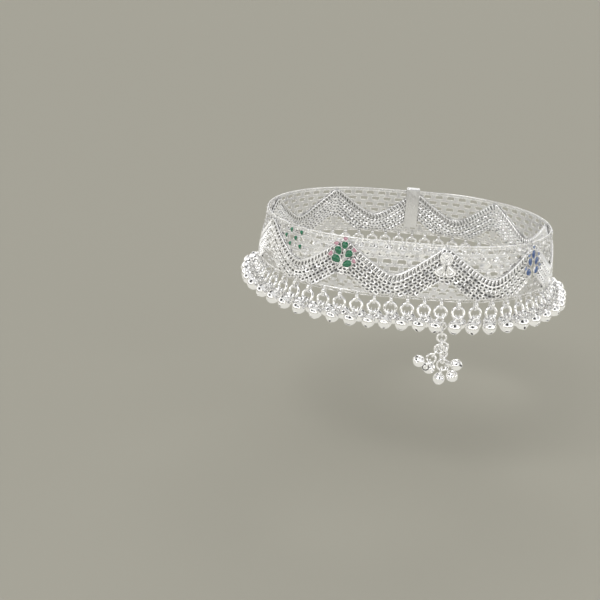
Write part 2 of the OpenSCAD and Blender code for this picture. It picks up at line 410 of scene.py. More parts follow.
def drawn_out(piece, x=0, y=0):
    """Pulls the four quarters of a ring apart, which makes an oval or a rounded frame of it."""
    for axis, way in ((X * x, X), (Y * y, Y)):
        for side in (-1, 1):
            if axis.length:
                select(piece, lambda p: p.dot(way) * side > 0.01)
                bpy.ops.transform.translate(value=axis * side)
    to_object()
    return piece


def wire(name, points, radius, closed=True, sides=1):
    """A round wire through the points."""
    clear_selection()
    line = bpy.data.curves.new(name, "CURVE")
    line.dimensions = "3D"
    spline = line.splines.new("POLY")
    spline.points.add(len(points) - 1)
    for point, place in zip(spline.points, points):
        point.co = (*place, 1)
    spline.use_cyclic_u = closed
    line.bevel_depth = radius
    line.bevel_resolution = sides
    line.use_fill_caps = not closed
    piece = bpy.data.objects.new(name, line)
    bpy.context.collection.objects.link(piece)
    piece.select_set(True)
    bpy.context.view_layer.objects.active = piece
    bpy.ops.object.convert(target="MESH")
    return named(name)


def round_band(count, height, off):
    """Points all the way round the band, at a height and distance that may change with the station."""
    places = []
    for i in range(count):
        f = i / count
        z = height(f) if callable(height) else height
        places.append(on_band(f, z, off).translation)
    return places


def finish(piece, slot, material, *nodes):
    """Makes the piece metres, gives it its finish and lets it stand for its nodes."""
    smooth(piece)
    piece.data.transform(Matrix.Scale(MM, 4))
    piece.data.materials.clear()
    piece.data.materials.append(material)
    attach(piece, "root")
    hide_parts(*nodes)
    return piece


# Materials

class Value:
    """A socket that takes part in sums. A sum on values adds its Math nodes."""

    def __init__(self, paint, socket):
        self.paint = paint
        self.socket = socket

    def sum(self, operation, first, second):
        return self.paint.node("Math", {"operation": operation}, {0: first, 1: second})

    def __add__(self, other):
        return self.sum("ADD", self, other)

    def __sub__(self, other):
        return self.sum("SUBTRACT", self, other)

    def __rsub__(self, other):
        return self.sum("SUBTRACT", other, self)

    def __mul__(self, other):
        return self.sum("MULTIPLY", self, other)

    def __pow__(self, other):
        return self.sum("POWER", self, other)

    __radd__ = __add__
    __rmul__ = __mul__


class Paint:
    """A material on a Principled shader."""

    def __init__(self, name, **values):
        self.material = bpy.data.materials.new(name)
        self.material.use_nodes = True
        self.tree = self.material.node_tree
        self.shader = self.tree.nodes["Principled BSDF"]
        self.place = self.node("TexCoord", {}, {}, "Object")
        for key, value in values.items():
            self.shader.inputs[key.replace("_", " ")].default_value = value

    def node(self, kind, settings, inputs, output=0):
        node = self.tree.nodes.new("ShaderNode" + kind)
        for key, value in settings.items():
            setattr(node, key, value)
        for key, value in inputs.items():
            self.feed(node.inputs[key], value)
        return Value(self, node.outputs[output])

    def feed(self, socket, value):
        if isinstance(value, Value):
            self.tree.links.new(value.socket, socket)
        else:
            socket.default_value = value

    def noise(self, size_mm, detail=2):
        """A soft pattern from 0 to 1 whose spots are about that large."""
        inputs = {"Vector": self.place, "Scale": 1 / (size_mm * MM), "Detail": detail}
        return self.node("TexNoise", {}, inputs)

    def mix(self, factor, first, second):
        inputs = {0: factor, 6: (*first, 1), 7: (*second, 1)}
        return self.node("Mix", {"data_type": "RGBA"}, inputs, 2)

    def bump(self, height, depth_mm):
        inputs = {"Height": height, "Distance": depth_mm * MM, "Strength": 1}
        self.set("Normal", self.node("Bump", {}, inputs))

    def set(self, name, value):
        self.feed(self.shader.inputs[name], value)


def silver(name, bright, dull, rough, spread_of_rough, dent_mm):
    """Silver with soft clouds of handling wear and shallow dents."""
    paint = Paint(name, Metallic=1)
    clouds = paint.noise(3.5, 4)
    grain = paint.noise(0.35, 3)
    paint.set("Base Color", paint.mix(clouds ** 2, bright, dull))
    paint.set("Roughness", rough + spread_of_rough * grain)
    paint.bump(paint.noise(0.7, 3), dent_mm)
    return paint.material


def enamel(name, deep, light):
    """Glassy enamel over silver: deeper where it is thick."""
    paint = Paint(name, Coat_Weight=1, Coat_Roughness=0.04)
    clouds = paint.noise(1.1, 3)
    paint.set("Base Color", paint.mix(clouds, deep, light))
    paint.set("Roughness", 0.1 + 0.15 * paint.noise(0.4))
    paint.bump(paint.noise(0.9), 0.03)
    return paint.material


def make_finishes():
    return {
        "wire": silver("woven_silver", (0.93, 0.925, 0.915), (0.8, 0.795, 0.785), 0.16, 0.16, 0.03),
        "mail": silver("mail_silver", (0.96, 0.955, 0.945), (0.9, 0.895, 0.885), 0.2, 0.2, 0.02),
        # painted shade: the net's sheet is a darker silver than its wires, so that the ground round the gaps
        # reads shaded
        "sheet": silver("net_silver_painted_shade", (0.74, 0.735, 0.725), (0.56, 0.555, 0.545), 0.26, 0.2, 0.03),
        # partly painted shade: the plates' satin roughness is their own finish, but their darker silver tone
        # stands for their soft shading
        "plate": silver("plate_silver_painted_shade", (0.78, 0.775, 0.765), (0.58, 0.575, 0.57), 0.2, 0.2, 0.02),
        # painted shade: a dark silver for the ribbon's core, standing for the shade deep between the rings
        "shade": silver("painted_shade_silver", (0.36, 0.355, 0.35), (0.24, 0.237, 0.234), 0.4, 0.2, 0.05),
        "polish": silver("polished_silver", (0.95, 0.945, 0.935), (0.86, 0.855, 0.85), 0.06, 0.08, 0.02),
        "green": enamel("green_enamel", (0.0, 0.14, 0.055), (0.0, 0.27, 0.12)),
        "pink": enamel("pink_enamel", (0.72, 0.32, 0.44), (0.86, 0.5, 0.6)),
        "blue": enamel("blue_enamel", (0.015, 0.06, 0.27), (0.07, 0.2, 0.5)),
        "sky": enamel("sky_enamel", (0.16, 0.36, 0.6), (0.36, 0.38, 0.68))}


# Band

def along_ribbon(depth, pitch, start):
    """Stations and slopes at a depth below the ribbon's edge, a pitch apart, inside the ribbon."""
    f = peak(CLASP_WAVE) + start * pitch / GIRTH
    end = peak(CLASP_WAVE) + 1
    steps = []
    while f < end:
        slope = ribbon_slope(f)
        if ribbon_top(f) - depth > ribbon_foot(f) + RIBBON_LEAST:
            steps.append((f, ribbon_top(f) - depth, slope))
        f += pitch * math.cos(slope) / GIRTH
    return steps


def mail_places(off, lean):
    """Rows of rings that lean to the left and the right in turn, each a little its own way."""
    places = []
    for row in range(MAIL_ROWS):
        side = 1 if row % 2 else -1
        for f, z, slope in along_ribbon(MAIL_START + row * MAIL_STEP, MAIL_PITCH, 0.5 * (row % 2)):
            tip = turn(side * lean + shuffle.uniform(-MAIL_TILT, MAIL_TILT), "Y")
            tip = tip @ turn(shuffle.uniform(-MAIL_TIP, MAIL_TIP), "X")
            places.append(on_band(f, z, off) @ Matrix.Rotation(slope, 4, "Z") @ tip)
    return places


def make_mail(finishes):
    """Oval rings over the ribbon's face, and somewhat plainer ones over its back."""
    sides = (("ribbon_mail", RIBBON_FACE, MAIL_LEAN, 6), ("ribbon_back_mail", RIBBON_BACK, -MAIL_LEAN, 5))
    for name, off, lean, across in sides:
        link = drawn_out(ring("mail_link", MAIL_R, MAIL_WIRE, 12, across), x=MAIL_PULL)
        finish(spread(name, link, mail_places(off, lean)), "silver", finishes["mail"], "woven_band")


def make_ladder(finishes):
    """Slanted oval links under the ribbon's edge, on the face and on the back."""
    sides = (("ladder", RIBBON_FACE, LADDER_LEAN), ("back_ladder", RIBBON_BACK, -LADDER_LEAN))
    for name, off, lean in sides:
        link = drawn_out(ring("ladder_link", LADDER_R, LADDER_WIRE, 10, 6), y=LADDER_PULL)
        slant = turn(LADDER_SLANT, "Z") @ turn(lean, "Y")
        places = [
            on_band(f, z, off) @ Matrix.Rotation(slope * LADDER_FOLLOW, 4, "Z") @ slant
            for f, z, slope in along_ribbon(LADDER_D, LADDER_PITCH, 0)]
        finish(spread(name, link, places), "silver", finishes["mail"], "woven_band")


def make_core(finishes):
    """The dense inside of the ribbon, in a dark silver that paints the shade seen between the rings."""
    clear_selection()
    bpy.ops.mesh.primitive_grid_add(x_subdivisions=WAVES * 48, y_subdivisions=3, size=1)
    core = named("ribbon_core")

    def lie(p):
        f = p.x + 0.5
        low, high = ribbon_foot(f), ribbon_top(f) - CORE_GAP
        return on_band(f, low + (high - low) * (p.y + 0.5), RIBBON_CORE[0]).translation

    shape(core, lie)
    outward(core)
    apply_modifier(core, "SOLIDIFY", thickness=RIBBON_CORE[1] - RIBBON_CORE[0], offset=1)
    finish(core, "silver", finishes["shade"], "woven_band")


def make_edge_wires(finishes):
    """Smooth wires along the ribbon's upper edge, over the net under each peak, and along both rims."""
    count = WAVES * 60
    edge = round_band(count, lambda f: ribbon_top(f) - EDGE_WIRE / 2, RIBBON_FACE)
    back = round_band(count, lambda f: ribbon_top(f) - EDGE_WIRE / 2, RIBBON_BACK)
    second = round_band(count, lambda f: ribbon_top(f) - SECOND_WIRE_D, RIBBON_FACE + 0.1)
    pieces = [
        wire("edge", edge, EDGE_WIRE, sides=2),
        wire("edge", back, BACK_WIRE),
        wire("edge", second, SECOND_WIRE)]
    for height, off, radius in RIM_WIRES:
        pieces.append(wire("edge", round_band(count, height, off), radius))
    for i in range(WAVES):
        steps = [peak(i) + j / 24 * LOW_PANEL_W / GIRTH for j in range(-24, 25)]
        arch = [on_band(f, ribbon_foot(f) + 0.1, RIBBON_FACE).translation for f in steps]
        pieces.append(wire("edge", arch, ARCH_WIRE, closed=False))
    finish(join("edge_wires", pieces), "silver", finishes["wire"], "woven_band")


def make_edging(name, count, start, z, pull, finishes):
    """Flat oval links in a row along a rim, with a bead and a small ring where two of them meet."""
    starts = [start + i / count for i in range(count)]
    half = 0.5 / count
    link = drawn_out(ring("edge_link", EDGE_LINK_R, EDGE_LINK_WIRE, 12, 6), x=pull)
    links = spread("links", link, [on_band(f, z, NET_OFF) for f in starts])
    clear_selection()
    bpy.ops.mesh.primitive_uv_sphere_add(segments=10, ring_count=6, radius=EDGE_BEAD_R)
    bead = moved(named("bead"), Matrix.Diagonal(EDGE_BEAD_FORM))
    beads = spread("beads", bead, [on_band(f + half, z + 0.2, NET_OFF + 0.1) for f in starts])
    eye = ring("eye", 0.22, 0.1, 8, 4)
    eyes = spread("eyes", eye, [on_band(f + half, z - 0.45, NET_OFF + 0.15) for f in starts])
    finish(join(name, [links, beads, eyes]), "silver", finishes["wire"], "woven_band")


def make_tile(width, height, gap_w, gap_h, taper=0):
    """A flat piece of the net with one gap, wider at its foot, and the raised wire round the gap."""
    clear_selection()
    bpy.ops.mesh.primitive_circle_add(vertices=24, radius=1)
    tile = named("tile")
    select(tile, lambda p: True)
    bpy.ops.mesh.extrude_region_move(TRANSFORM_OT_translate={"value": (0, 0, 0)})
    bpy.ops.transform.resize(value=(3, 3, 3), center_override=(0, 0, 0))
    to_object()

    def lie(p):
        if p.length > 2:
            edge = p / max(abs(p.x), abs(p.y))
            return Vector((edge.x * width / 2, edge.y * height / 2, 0))
        edge = p / (abs(p.x) ** 6 + abs(p.y) ** 6) ** (1 / 6)
        return Vector((edge.x * (1 - taper * edge.y) * gap_w / 2, edge.y * gap_h / 2, 0))

    shape(tile, lie)
    apply_modifier(tile, "SOLIDIFY", thickness=SHEET_T, offset=0)
    gap_ring = ring("gap_wire", 2 * GAP_WIRE, GAP_WIRE, 16, 6)
    bead = drawn_out(gap_ring, x=gap_w / 2 - 0.2, y=max(gap_h / 2 - 0.2, 0.02))
    shape(bead, lambda p: Vector((p.x * (1 - taper * p.y / gap_h * 2), p.y, p.z)))
    return tile, bead


def plate_tip():
    """Each plate sits a little askew."""
    tip = turn(shuffle.uniform(-PLATE_TIP, PLATE_TIP), "X")
    return tip @ turn(shuffle.uniform(-PLATE_TIP, PLATE_TIP), "Y")


def make_net(finishes):
    """Tiles with a gap each, plates between the gaps, and a small ring below each plate."""
    tiles, plates, rings = [], [], []
    step = NET_STEP / GIRTH
    for row, z in enumerate(NET_ROWS):
        flip = Matrix.Rotation(math.pi * (row % 2), 4, "Z")
        for i in range(NET_TILES * WAVES):
            f = trough(0) + (i + 0.5 * (1 - row % 2)) * step
            if z + TILE_REACH > min(ribbon_top(f - step / 2), ribbon_top(f + step / 2)):
                tiles.append(on_band(f, z, NET_OFF) @ flip)
            f += step / 2
            if z > ribbon_top(f) - PLATE_SINK:
                plates.append(on_band(f, z + PLATE_UP, PLATE_OFF) @ plate_tip())
                rings.append(on_band(f, z - NET_EYE_DOWN, PLATE_OFF))
    tile, bead = make_tile(NET_STEP * TILE_LAP, *NET_TILE)
    eye = ring("eye", 0.29, 0.13, 8, 4)
    # the sheet takes the darker silver that paints shade round the gaps
    finish(spread("net_sheet", tile, tiles), "silver", finishes["sheet"], "woven_band")
    links = [spread("beads", bead, tiles), spread("eyes", eye, rings)]
    finish(join("net_links", links), "silver", finishes["wire"], "woven_band")
    plate = make_plate(*NET_PLATE)
    # the plates take the darker silver tone that paints their soft shading
    finish(spread("net_plates", plate, plates), "silver", finishes["plate"], "woven_band")


def make_plate(width, height):
    """A small domed plate, narrower at its foot."""
    clear_selection()
    bpy.ops.mesh.primitive_cube_add(size=1)
    plate = moved(named("plate"), Matrix.Diagonal((width, height, SHEET_T, 1)))
    select(plate, lambda p: p.y < 0)
    bpy.ops.transform.resize(value=(0.72, 1, 1), center_override=(0, 0, 0))
    select(plate, lambda p: p.z > 0.1, faces=True)
    bpy.ops.mesh.inset(thickness=0.22, depth=0.07)
    to_object()
    return apply_modifier(plate, "BEVEL", width=0.05, segments=1)


def make_low_net(finishes):
    """The finer net under each peak: wide gaps and small square ones in turn, with small plates."""
    sheets, links, plates = [], [], []
    for z, steps, width, height, gap_w, gap_h in LOW_NET_ROWS:
        stations = [peak(i) + step * LOW_NET_STEP / GIRTH for i in range(WAVES) for step in steps]
        tile, bead = make_tile(width * LOW_NET_STEP * TILE_LAP, height, gap_w, gap_h)
        places = [on_band(f, z, NET_OFF) for f in stations]
        sheets.append(spread("tiles", tile, places))
        links.append(spread("beads", bead, places))
        if width == 1:
            for f in stations:
                plates.append(on_band(f + LOW_NET_STEP / 2 / GIRTH, z, LOW_PLATE_OFF) @ plate_tip())
    # the finer net's sheet takes the same darker silver, a painted shade
    finish(join("low_net_sheet", sheets), "silver", finishes["sheet"], "woven_band")
    finish(join("low_net_links", links), "silver", finishes["wire"], "woven_band")
    plate = make_plate(*LOW_NET_PLATE)
    finish(spread("low_net_plates", plate, plates), "silver", finishes["plate"], "woven_band")


def make_hangers(finishes):
    """Two thin long eyelets side by side over each jump ring."""
    places = []
    for k in range(UNITS):
        for side in (-HANGER_HALF_GAP, HANGER_HALF_GAP):
            spot = shift(side, 0, LUG_Z + HANGER_PULL)
            places.append(upright(unit(k), LUG_OFF) @ spot @ turn(90, "Y"))
    link = drawn_out(ring("hanger", HANGER_R, HANGER_WIRE, 16, 6), x=HANGER_PULL)
    finish(spread("hangers", link, places), "silver", finishes["wire"], "woven_band")


# Bells

def sway(k, step, most):
    """A small amount that differs from one unit to the next."""
    return most * math.sin(math.radians(step * k))


def unit_lean(k):
    """The rings hang nearly straight at the front and lean outwards at the sides."""
    return LEAN + SIDE_LEAN * math.sin(station(unit(k))[1]) ** 2 + sway(k, 97, LEAN_SWAY)


def from_lug(k):
    """A jump ring's upper wire, with the ring leaning outwards."""
    return upright(unit(k), LUG_OFF) @ shift(z=LUG_Z - RING_DROP) @ turn(-unit_lean(k), "X")


def on_ring(side):
    """A bell's place on the ring, on the left (-1) or the right (1)."""
    spot = shift(side * RING_R * math.sin(EYE_TURN), 0, -RING_R - RING_R * math.cos(EYE_TURN))
    return spot @ turn(-side * EYE_TILT, "Y")


def make_bell(radius, slit_turn):
    """A hollow bell that hangs from its eye at the origin, with a seam and a lipped slit below."""
    clear_selection()
    bpy.ops.mesh.primitive_uv_sphere_add(segments=20, ring_count=12, radius=radius)
    ball = named("bell")
    select(ball, lambda p: abs(p.z) < 0.01)
    bpy.ops.mesh.bevel(offset=SEAM_W, segments=2, affect="EDGES")
    select(ball, lambda p: abs(p.z) < 0.01)
    bpy.ops.transform.resize(value=(SEAM_BULGE, SEAM_BULGE, 1), center_override=(0, 0, 0))
    apply_modifier(ball, "SOLIDIFY", thickness=BELL_WALL, offset=-1)
    clear_selection()
    bpy.ops.mesh.primitive_cylinder_add(
        vertices=12, radius=SLIT_R, depth=1.6, location=(0, 0, -radius))
    cutter = named("slit_cutter")
    moved(cutter, cutter.matrix_world.copy())
    cutter.location = (0, 0, 0)
    drawn_out(cutter, y=SLIT_HALF)
    apply_modifier(ball, "BOOLEAN", object=cutter, operation="DIFFERENCE", solver="EXACT")
    bpy.data.objects.remove(cutter)
    lip = drawn_out(ring("lip", LIP_R, LIP_WIRE, 16, 6), y=SLIT_HALF)
    shape(lip, lambda p: Vector((p.x, p.y, -p.z - math.sqrt(radius ** 2 - p.x ** 2 - p.y ** 2))))
    arm = radius + EYE_R + EYE_WIRE - EYE_SINK
    eye = moved(ring("eye", EYE_R, EYE_WIRE, 14, 6), shift(z=arm) @ turn(90, "Y"))
    outward(lip)
    body = moved(join("bell", [ball, lip]), turn(slit_turn, "Z"))
    return moved(join("bell", [body, eye]), shift(z=-arm))


def outer_splay(k):
    return -OUTER_SPLAY - sway(k + 1, 61, SPLAY_SWAY)


def inner_splay(k):
    return INNER_SPLAY + sway(k, 83, SPLAY_SWAY)


def make_fringe(name, side, splay_of, skip, finishes):
    """A row of bells in three groups whose slits are turned differently."""
    groups = []
    for group in range(3):
        places = [
            from_lug(k) @ on_ring(side) @ turn(splay_of(k), "X")
            for k in range(UNITS) if k % 3 == group and k != skip]
        groups.append(spread(name, make_bell(BELL_R, 20 + 60 * group), places))
    finish(join(name + "_dressed", groups), "bright_silver", finishes["polish"], name)


def make_jump_rings(finishes):
    places = [from_lug(k) @ shift(z=-RING_R) @ turn(90, "X") for k in range(UNITS)]
    rings = spread("jump_rings_dressed", ring("jump_ring", RING_R, RING_WIRE, 36, 12), places)
    finish(rings, "silver", finishes["polish"], "jump_rings")


def at_tassel_link(link):
    """The upper bend of a link, as the tassel hangs from the jump ring over it."""
    x, y, z, _, _, link_turn, tilt = link
    base = from_lug(TASSEL_UNIT) @ on_ring(1) @ turn(unit_lean(TASSEL_UNIT), "X")
    base = base @ turn(EYE_TILT - TASSEL_LEAN, "Y")
    return base @ shift(x, y, z) @ turn(tilt, "Y") @ turn(link_turn, "Z")


def make_tassel_links(finishes):
    """Each link of the tassel; the long ones are short chains of three rings."""
    links = []
    for place in TASSEL_LINKS:
        radius, length = place[3], place[4]
        if length < CHAIN_FROM:
            link = drawn_out(ring("link", radius, LINK_WIRE, 28, 10), y=length / 2)
            links.append(moved(link, at_tassel_link(place) @ shift(z=-length / 2) @ turn(90, "X")))
            continue
        span = length + 2 * radius
        small = (span + 4 * LINK_WIRE) / 6
        for i in range(3):
            spot = shift(z=radius - small - i * (span - 2 * small) / 2) @ turn(90 * i, "Z") @ turn(90, "X")
            links.append(moved(ring("link", small, LINK_WIRE, 24, 10), at_tassel_link(place) @ spot))
    finish(join("tassel_links_dressed", links), "silver", finishes["polish"], "tassel_links")


def make_tassel_bells(finishes):
    places = []
    for index, place, tilt, lean in TASSEL_BELLS:
        link = TASSEL_LINKS[index]
        radius, length = link[3], link[4]
        bend = at_tassel_link(link) @ shift(z=-length) @ turn(-place, "Y") @ shift(z=-radius)
        places.append(bend @ turn(tilt, "Y") @ turn(lean, "X"))
    bells = spread("tassel_bells_dressed", make_bell(SMALL_BELL_R, 30), places)
    finish(bells, "bright_silver", finishes["polish"], "tassel_bells")


# Enamel work

def leaf_point(p, length, width, fan):
    """A round of radius 1 becomes a petal, a fan with a point at its foot, or a leaf, nearly an oval."""
    across = 0.92 * (1 + p.y) if fan else 1 + 0.25 * p.y
    return Vector((p.x * across * width / 2, p.y * length / 2, p.z))


def make_tray(length, width, rim=RIM_W, height=SETTING_T, depth=POCKET_D, fan=True):
    """A leaf-shaped cell with a rounded rim."""
    clear_selection()
    bpy.ops.mesh.primitive_circle_add(vertices=28, radius=1, fill_type="NGON")
    tray = named("tray")
    shape(tray, lambda p: leaf_point(p, length + 2 * rim, width + 2 * rim, fan))
    select(tray, lambda p: True)
    bpy.ops.mesh.extrude_region_move(TRANSFORM_OT_translate={"value": (0, 0, height)})
    bpy.ops.mesh.extrude_region_move(TRANSFORM_OT_translate={"value": (0, 0, 0)})
    inner = (length / (length + 2 * rim), width / (width + 2 * rim), 1)
    bpy.ops.transform.resize(value=inner, center_override=(0, 0, height))
    bpy.ops.mesh.extrude_region_move(TRANSFORM_OT_translate={"value": (0, 0, -depth)})
    bpy.ops.mesh.select_all(action="SELECT")
    bpy.ops.mesh.normals_make_consistent(inside=False)
    to_object()
    return apply_modifier(tray, "BEVEL", width=0.07, segments=2, angle_limit=math.radians(50))


def make_dome(length, width, low, high, fan=True):
    """A leaf-shaped drop of enamel with a crowned top."""
    clear_selection()
    bpy.ops.mesh.primitive_uv_sphere_add(segments=24, ring_count=10, radius=1)
    dome = named("dome")
    select(dome, lambda p: True)
    bpy.ops.mesh.bisect(plane_co=(0, 0, 0), plane_no=(0, 0, 1), clear_inner=True, use_fill=True)
    to_object()
    shape(dome, lambda p: leaf_point(Vector((p.x, p.y, low + (high - low) * p.z)), length, width, fan))
    return dome


def leaf_place(leaf):
    return shift(leaf[0], leaf[1]) @ turn(leaf[4], "Z")


def tip_place(leaf):
    return leaf_place(leaf) @ shift(y=leaf[2] / 2 + TIP_GAP + TIP_LEN / 2)


def make_twig(leaf):
    """The short wire from a leaf's foot towards the stem."""
    length = leaf[5] + RIM_W
    clear_selection()
    bpy.ops.mesh.primitive_cylinder_add(vertices=10, radius=TWIG_W / 2, depth=length)
    foot = shift(0, -leaf[2] / 2 - length / 2 + RIM_W, TWIG_W / 2)
    return moved(named("twig"), leaf_place(leaf) @ foot @ turn(90, "X"))


def make_sprig(name, seat, leaves, stem, leaf_paint, tip_paint, finishes):
    """Silver cells with enamel leaves, a brighter tip beyond each, twigs and a stem."""
    silver_parts, leaf_parts, tip_parts = [stem], [], []
    floor = SETTING_T - POCKET_D + 0.02
    for leaf in leaves:
        length, width = leaf[2] + LEAF_MORE, leaf[3] * LEAF_FULL + LEAF_MORE
        tip_w = leaf[3] * TIP_SHARE + TIP_MORE
        silver_parts.append(moved(make_tray(length, width, fan=False), leaf_place(leaf)))
        silver_parts.append(moved(make_tray(TIP_LEN, tip_w), tip_place(leaf)))
        silver_parts.append(make_twig(leaf))
        blade = make_dome(length, width, floor, SETTING_T + 0.08, fan=False)
        leaf_parts.append(moved(blade, leaf_place(leaf)))
        tip_parts.append(moved(make_dome(TIP_LEN, tip_w, floor, SETTING_T + 0.03), tip_place(leaf)))
    setting = moved(join(name + "_sprig_silver", silver_parts), seat)
    finish(setting, "silver", finishes["polish"], name + "_sprig_setting")
    blades = moved(join(name + "_leaves", leaf_parts), seat)
    finish(blades, name + "_enamel", finishes[name], leaf_paint)
    tips = moved(join(name + "_sprig_tips", tip_parts), seat)
    short = tip_paint.split("_")[0]
    finish(tips, short + "_enamel", finishes[short], tip_paint)


def make_green_stem():
    """Two wires side by side in an arc, from the top leaf down to the left."""
    stem_r = 7.1
    wires = []
    for side in (-1, 1):
        clear_selection()
        bpy.ops.mesh.primitive_circle_add(vertices=10, radius=STEM_WIRE, fill_type="NGON")
        start = turn(-38, "Z") @ shift(x=stem_r + side * STEM_HALF_GAP) @ turn(90, "X")
        piece = moved(named("stem"), start)
        select(piece, lambda p: True)
        bpy.ops.mesh.spin(steps=16, angle=math.radians(-50), center=(0, 0, 0), axis=(0, 0, 1))
        wires.append(outward(piece))
    return moved(join("stem", wires), shift(0.33 - stem_r, 0.2, STEM_LIFT))


def make_blue_stem():
    """Two straight wires side by side."""
    wires = []
    for side in (-1, 1):
        clear_selection()
        bpy.ops.mesh.primitive_cylinder_add(vertices=10, radius=STEM_WIRE, depth=6)
        wires.append(moved(named("stem"), shift(side * STEM_HALF_GAP, -1.9, STEM_LIFT) @ turn(90, "X")))
    return join("stem", wires)


def make_sprigs(finishes):
    seat = on_band(peak(-1), SPRIG_Z, RIBBON_T + SETTING_OFF)
    paints = ("green_enamel_leaves", "pink_enamel_tips")
    make_sprig("green", seat, GREEN_LEAVES, make_green_stem(), *paints, finishes)
    seat = on_band(peak(1) - BLUE_BACK / GIRTH, SPRIG_Z - BLUE_DROP, RIBBON_T + SETTING_OFF)
    paints = ("blue_enamel_leaves", "sky_enamel_tips")
    make_sprig("blue", seat, BLUE_LEAVES, make_blue_stem(), *paints, finishes)


def make_net_leaves(finishes):
    """Small enamel drops on the net: how many tiles from the middle, and the row."""
    drops = []
    for across, row in NET_LEAVES:
        seat = on_band(trough(-1) + across * NET_STEP / GIRTH, NET_ROWS[row], NET_OFF + 0.4) @ turn(20, "Z")
        drops.append(moved(make_dome(1.5, 1.1, low=0, high=0.35), seat))
    finish(join("net_leaves", drops), "green_enamel", finishes["green"], "net_enamel_leaves")


def make_trefoil(name, wave, finishes):
    """A round collet with two rims and a claw with a drop in it, over two drooping petals."""
    collet = shift(y=1.45)
    clear_selection()
    bpy.ops.mesh.primitive_cylinder_add(vertices=28, radius=1.75, depth=0.3)
    parts = [moved(named("collet"), collet @ shift(z=0.15))]
    parts.append(moved(ring("rim", 1.72, 0.27, 32, 8), collet @ shift(z=0.4)))
    parts.append(moved(ring("rim", 1.12, 0.17, 24, 8), collet @ shift(z=0.4)))
    parts.append(moved(make_dome(0.9, 0.55, low=0.2, high=0.75), collet @ shift(y=0.12) @ turn(180, "Z")))
    for side in (-1, 1):
        clear_selection()
        bpy.ops.mesh.primitive_cone_add(vertices=10, radius1=0.24, radius2=0.12, depth=1.5)
        arm = moved(named("claw"), turn(side * 33, "Z") @ shift(0, 0.62, 0.6) @ turn(-90, "X"))
        parts.append(moved(arm, collet @ shift(y=-0.75)))
        seat = shift(side * 1.2, -1.85) @ turn(180 + side * 22, "Z")
        parts.append(moved(make_tray(3.7, 2.15, rim=0.24, height=0.62, depth=0.3), seat))
        parts.append(moved(make_dome(3.5, 1.95, low=0.3, high=0.42), seat))
        parts.append(moved(make_tray(1.9, 0.8, rim=0.16, height=0.66, depth=0.2), seat @ shift(y=0.35)))
        parts.append(moved(make_dome(1.8, 0.7, low=0.4, high=0.72), seat @ shift(y=0.35)))
    piece = moved(join(name + "_silver", parts), on_band(peak(wave), SPRIG_Z, RIBBON_T + SETTING_OFF))
    finish(piece, "silver", finishes["wire"], name)


def make_clasp(finishes):
    """The closing saddle with its edges rounded."""
    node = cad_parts["clasp"]
    saddle = node.copy()
    saddle.data = node.data.copy()
    saddle.data.transform(Matrix.Scale(1 / MM, 4))
    bpy.context.collection.objects.link(saddle)
    saddle.name = "clasp_dressed"
    outward(saddle)
    apply_modifier(saddle, "BEVEL", width=0.28, segments=3, angle_limit=math.radians(50))
    # the clasp takes the plates' darker silver tone, a painted shade
    finish(saddle, "silver", finishes["plate"], "clasp")


# Stage

TENT_GLOW = 0.78
TENT_DARK = 0.05
TENT_BLUR = 4
# dark openings of the tent: bearing from the front, height, half width, in degrees
TENT_OPENINGS = [(-3, 32, 20), (-75, 34, 19), (70, 34, 19), (145, 32, 19), (-150, 34, 19)]
# suns: bearing from the front, height, strength, width, with angles in degrees
SUNS = {"key_sun": (-35, 50, 0.8, 30), "fill_sun": (60, 30, 0.25, 40), "back_sun": (170, 45, 0.3, 30)}

# The floor, the cards round the anklet and the glow under it, in metres and watts
FLOOR_W = 16
FLOOR_Z = -0.07
FLAT_R = 1
FLOOR_RISE = 0.02
CARDS = 6
CARD_AWAY = 0.95
CARD_Z = 0.06
CARD_SIZE = (0.95, 0.28)
CARD_POWER = 1.0
GLOW_Z = -0.066
GLOW_D = 0.5
GLOW_POWER = 0.26


def make_floor():
    """A wide floor that rises slowly far out, so that no horizon shows."""
    clear_selection()
    bpy.ops.mesh.primitive_grid_add(x_subdivisions=80, y_subdivisions=80, size=FLOOR_W, location=(0, 0, 0))
    floor = named("floor")

    def lie(p):
        beyond = max(0, math.hypot(p.x, p.y) - FLAT_R)
        return Vector((p.x, p.y, FLOOR_RISE * beyond ** 2 + FLOOR_Z))

    shape(floor, lie)
    smooth(floor)
    paint = Paint("floor_paint", Base_Color=(0.45, 0.435, 0.37, 1), Roughness=1, Specular_IOR_Level=0)
    floor.data.materials.append(paint.material)


def make_sun(name, bearing, height, strength, width):
    """Soft light from a wide round source: its bearing from the front and its height above the floor."""
    clear_selection()
    spot = turn(bearing, "Z") @ turn(-height, "X") @ FRONT
    bpy.ops.object.light_add(type="SUN", location=spot)
    sun = named(name)
    sun.data.energy = strength
    sun.data.angle = math.radians(width)
    sun.rotation_euler = (-spot).to_track_quat("-Z", "Y").to_euler()


def mirrored_only(light):
    """The silver mirrors the light, and neither the camera nor the floor shows it."""
    light.visible_camera = False
    light.visible_diffuse = False


def make_card(bearing):
    """A bright upright card near the horizon."""
    clear_selection()
    spot = turn(bearing, "Z") @ Vector((0, -CARD_AWAY, CARD_Z))
    bpy.ops.object.light_add(type="AREA", location=spot)
    card = named("card")
    card.data.shape = "RECTANGLE"
    card.data.size, card.data.size_y = CARD_SIZE
    card.data.energy = CARD_POWER
    card.rotation_euler = (-spot).to_track_quat("-Z", "Y").to_euler()
    mirrored_only(card)


def make_glow():
    """A round glow under the anklet, which brightens the undersides."""
    clear_selection()
    bpy.ops.object.light_add(type="AREA", location=(0, 0, GLOW_Z))
    glow = named("under_glow")
    glow.data.shape = "DISK"
    glow.data.size = GLOW_D
    glow.data.energy = GLOW_POWER
    glow.rotation_euler = (math.pi, 0, 0)
    mirrored_only(glow)


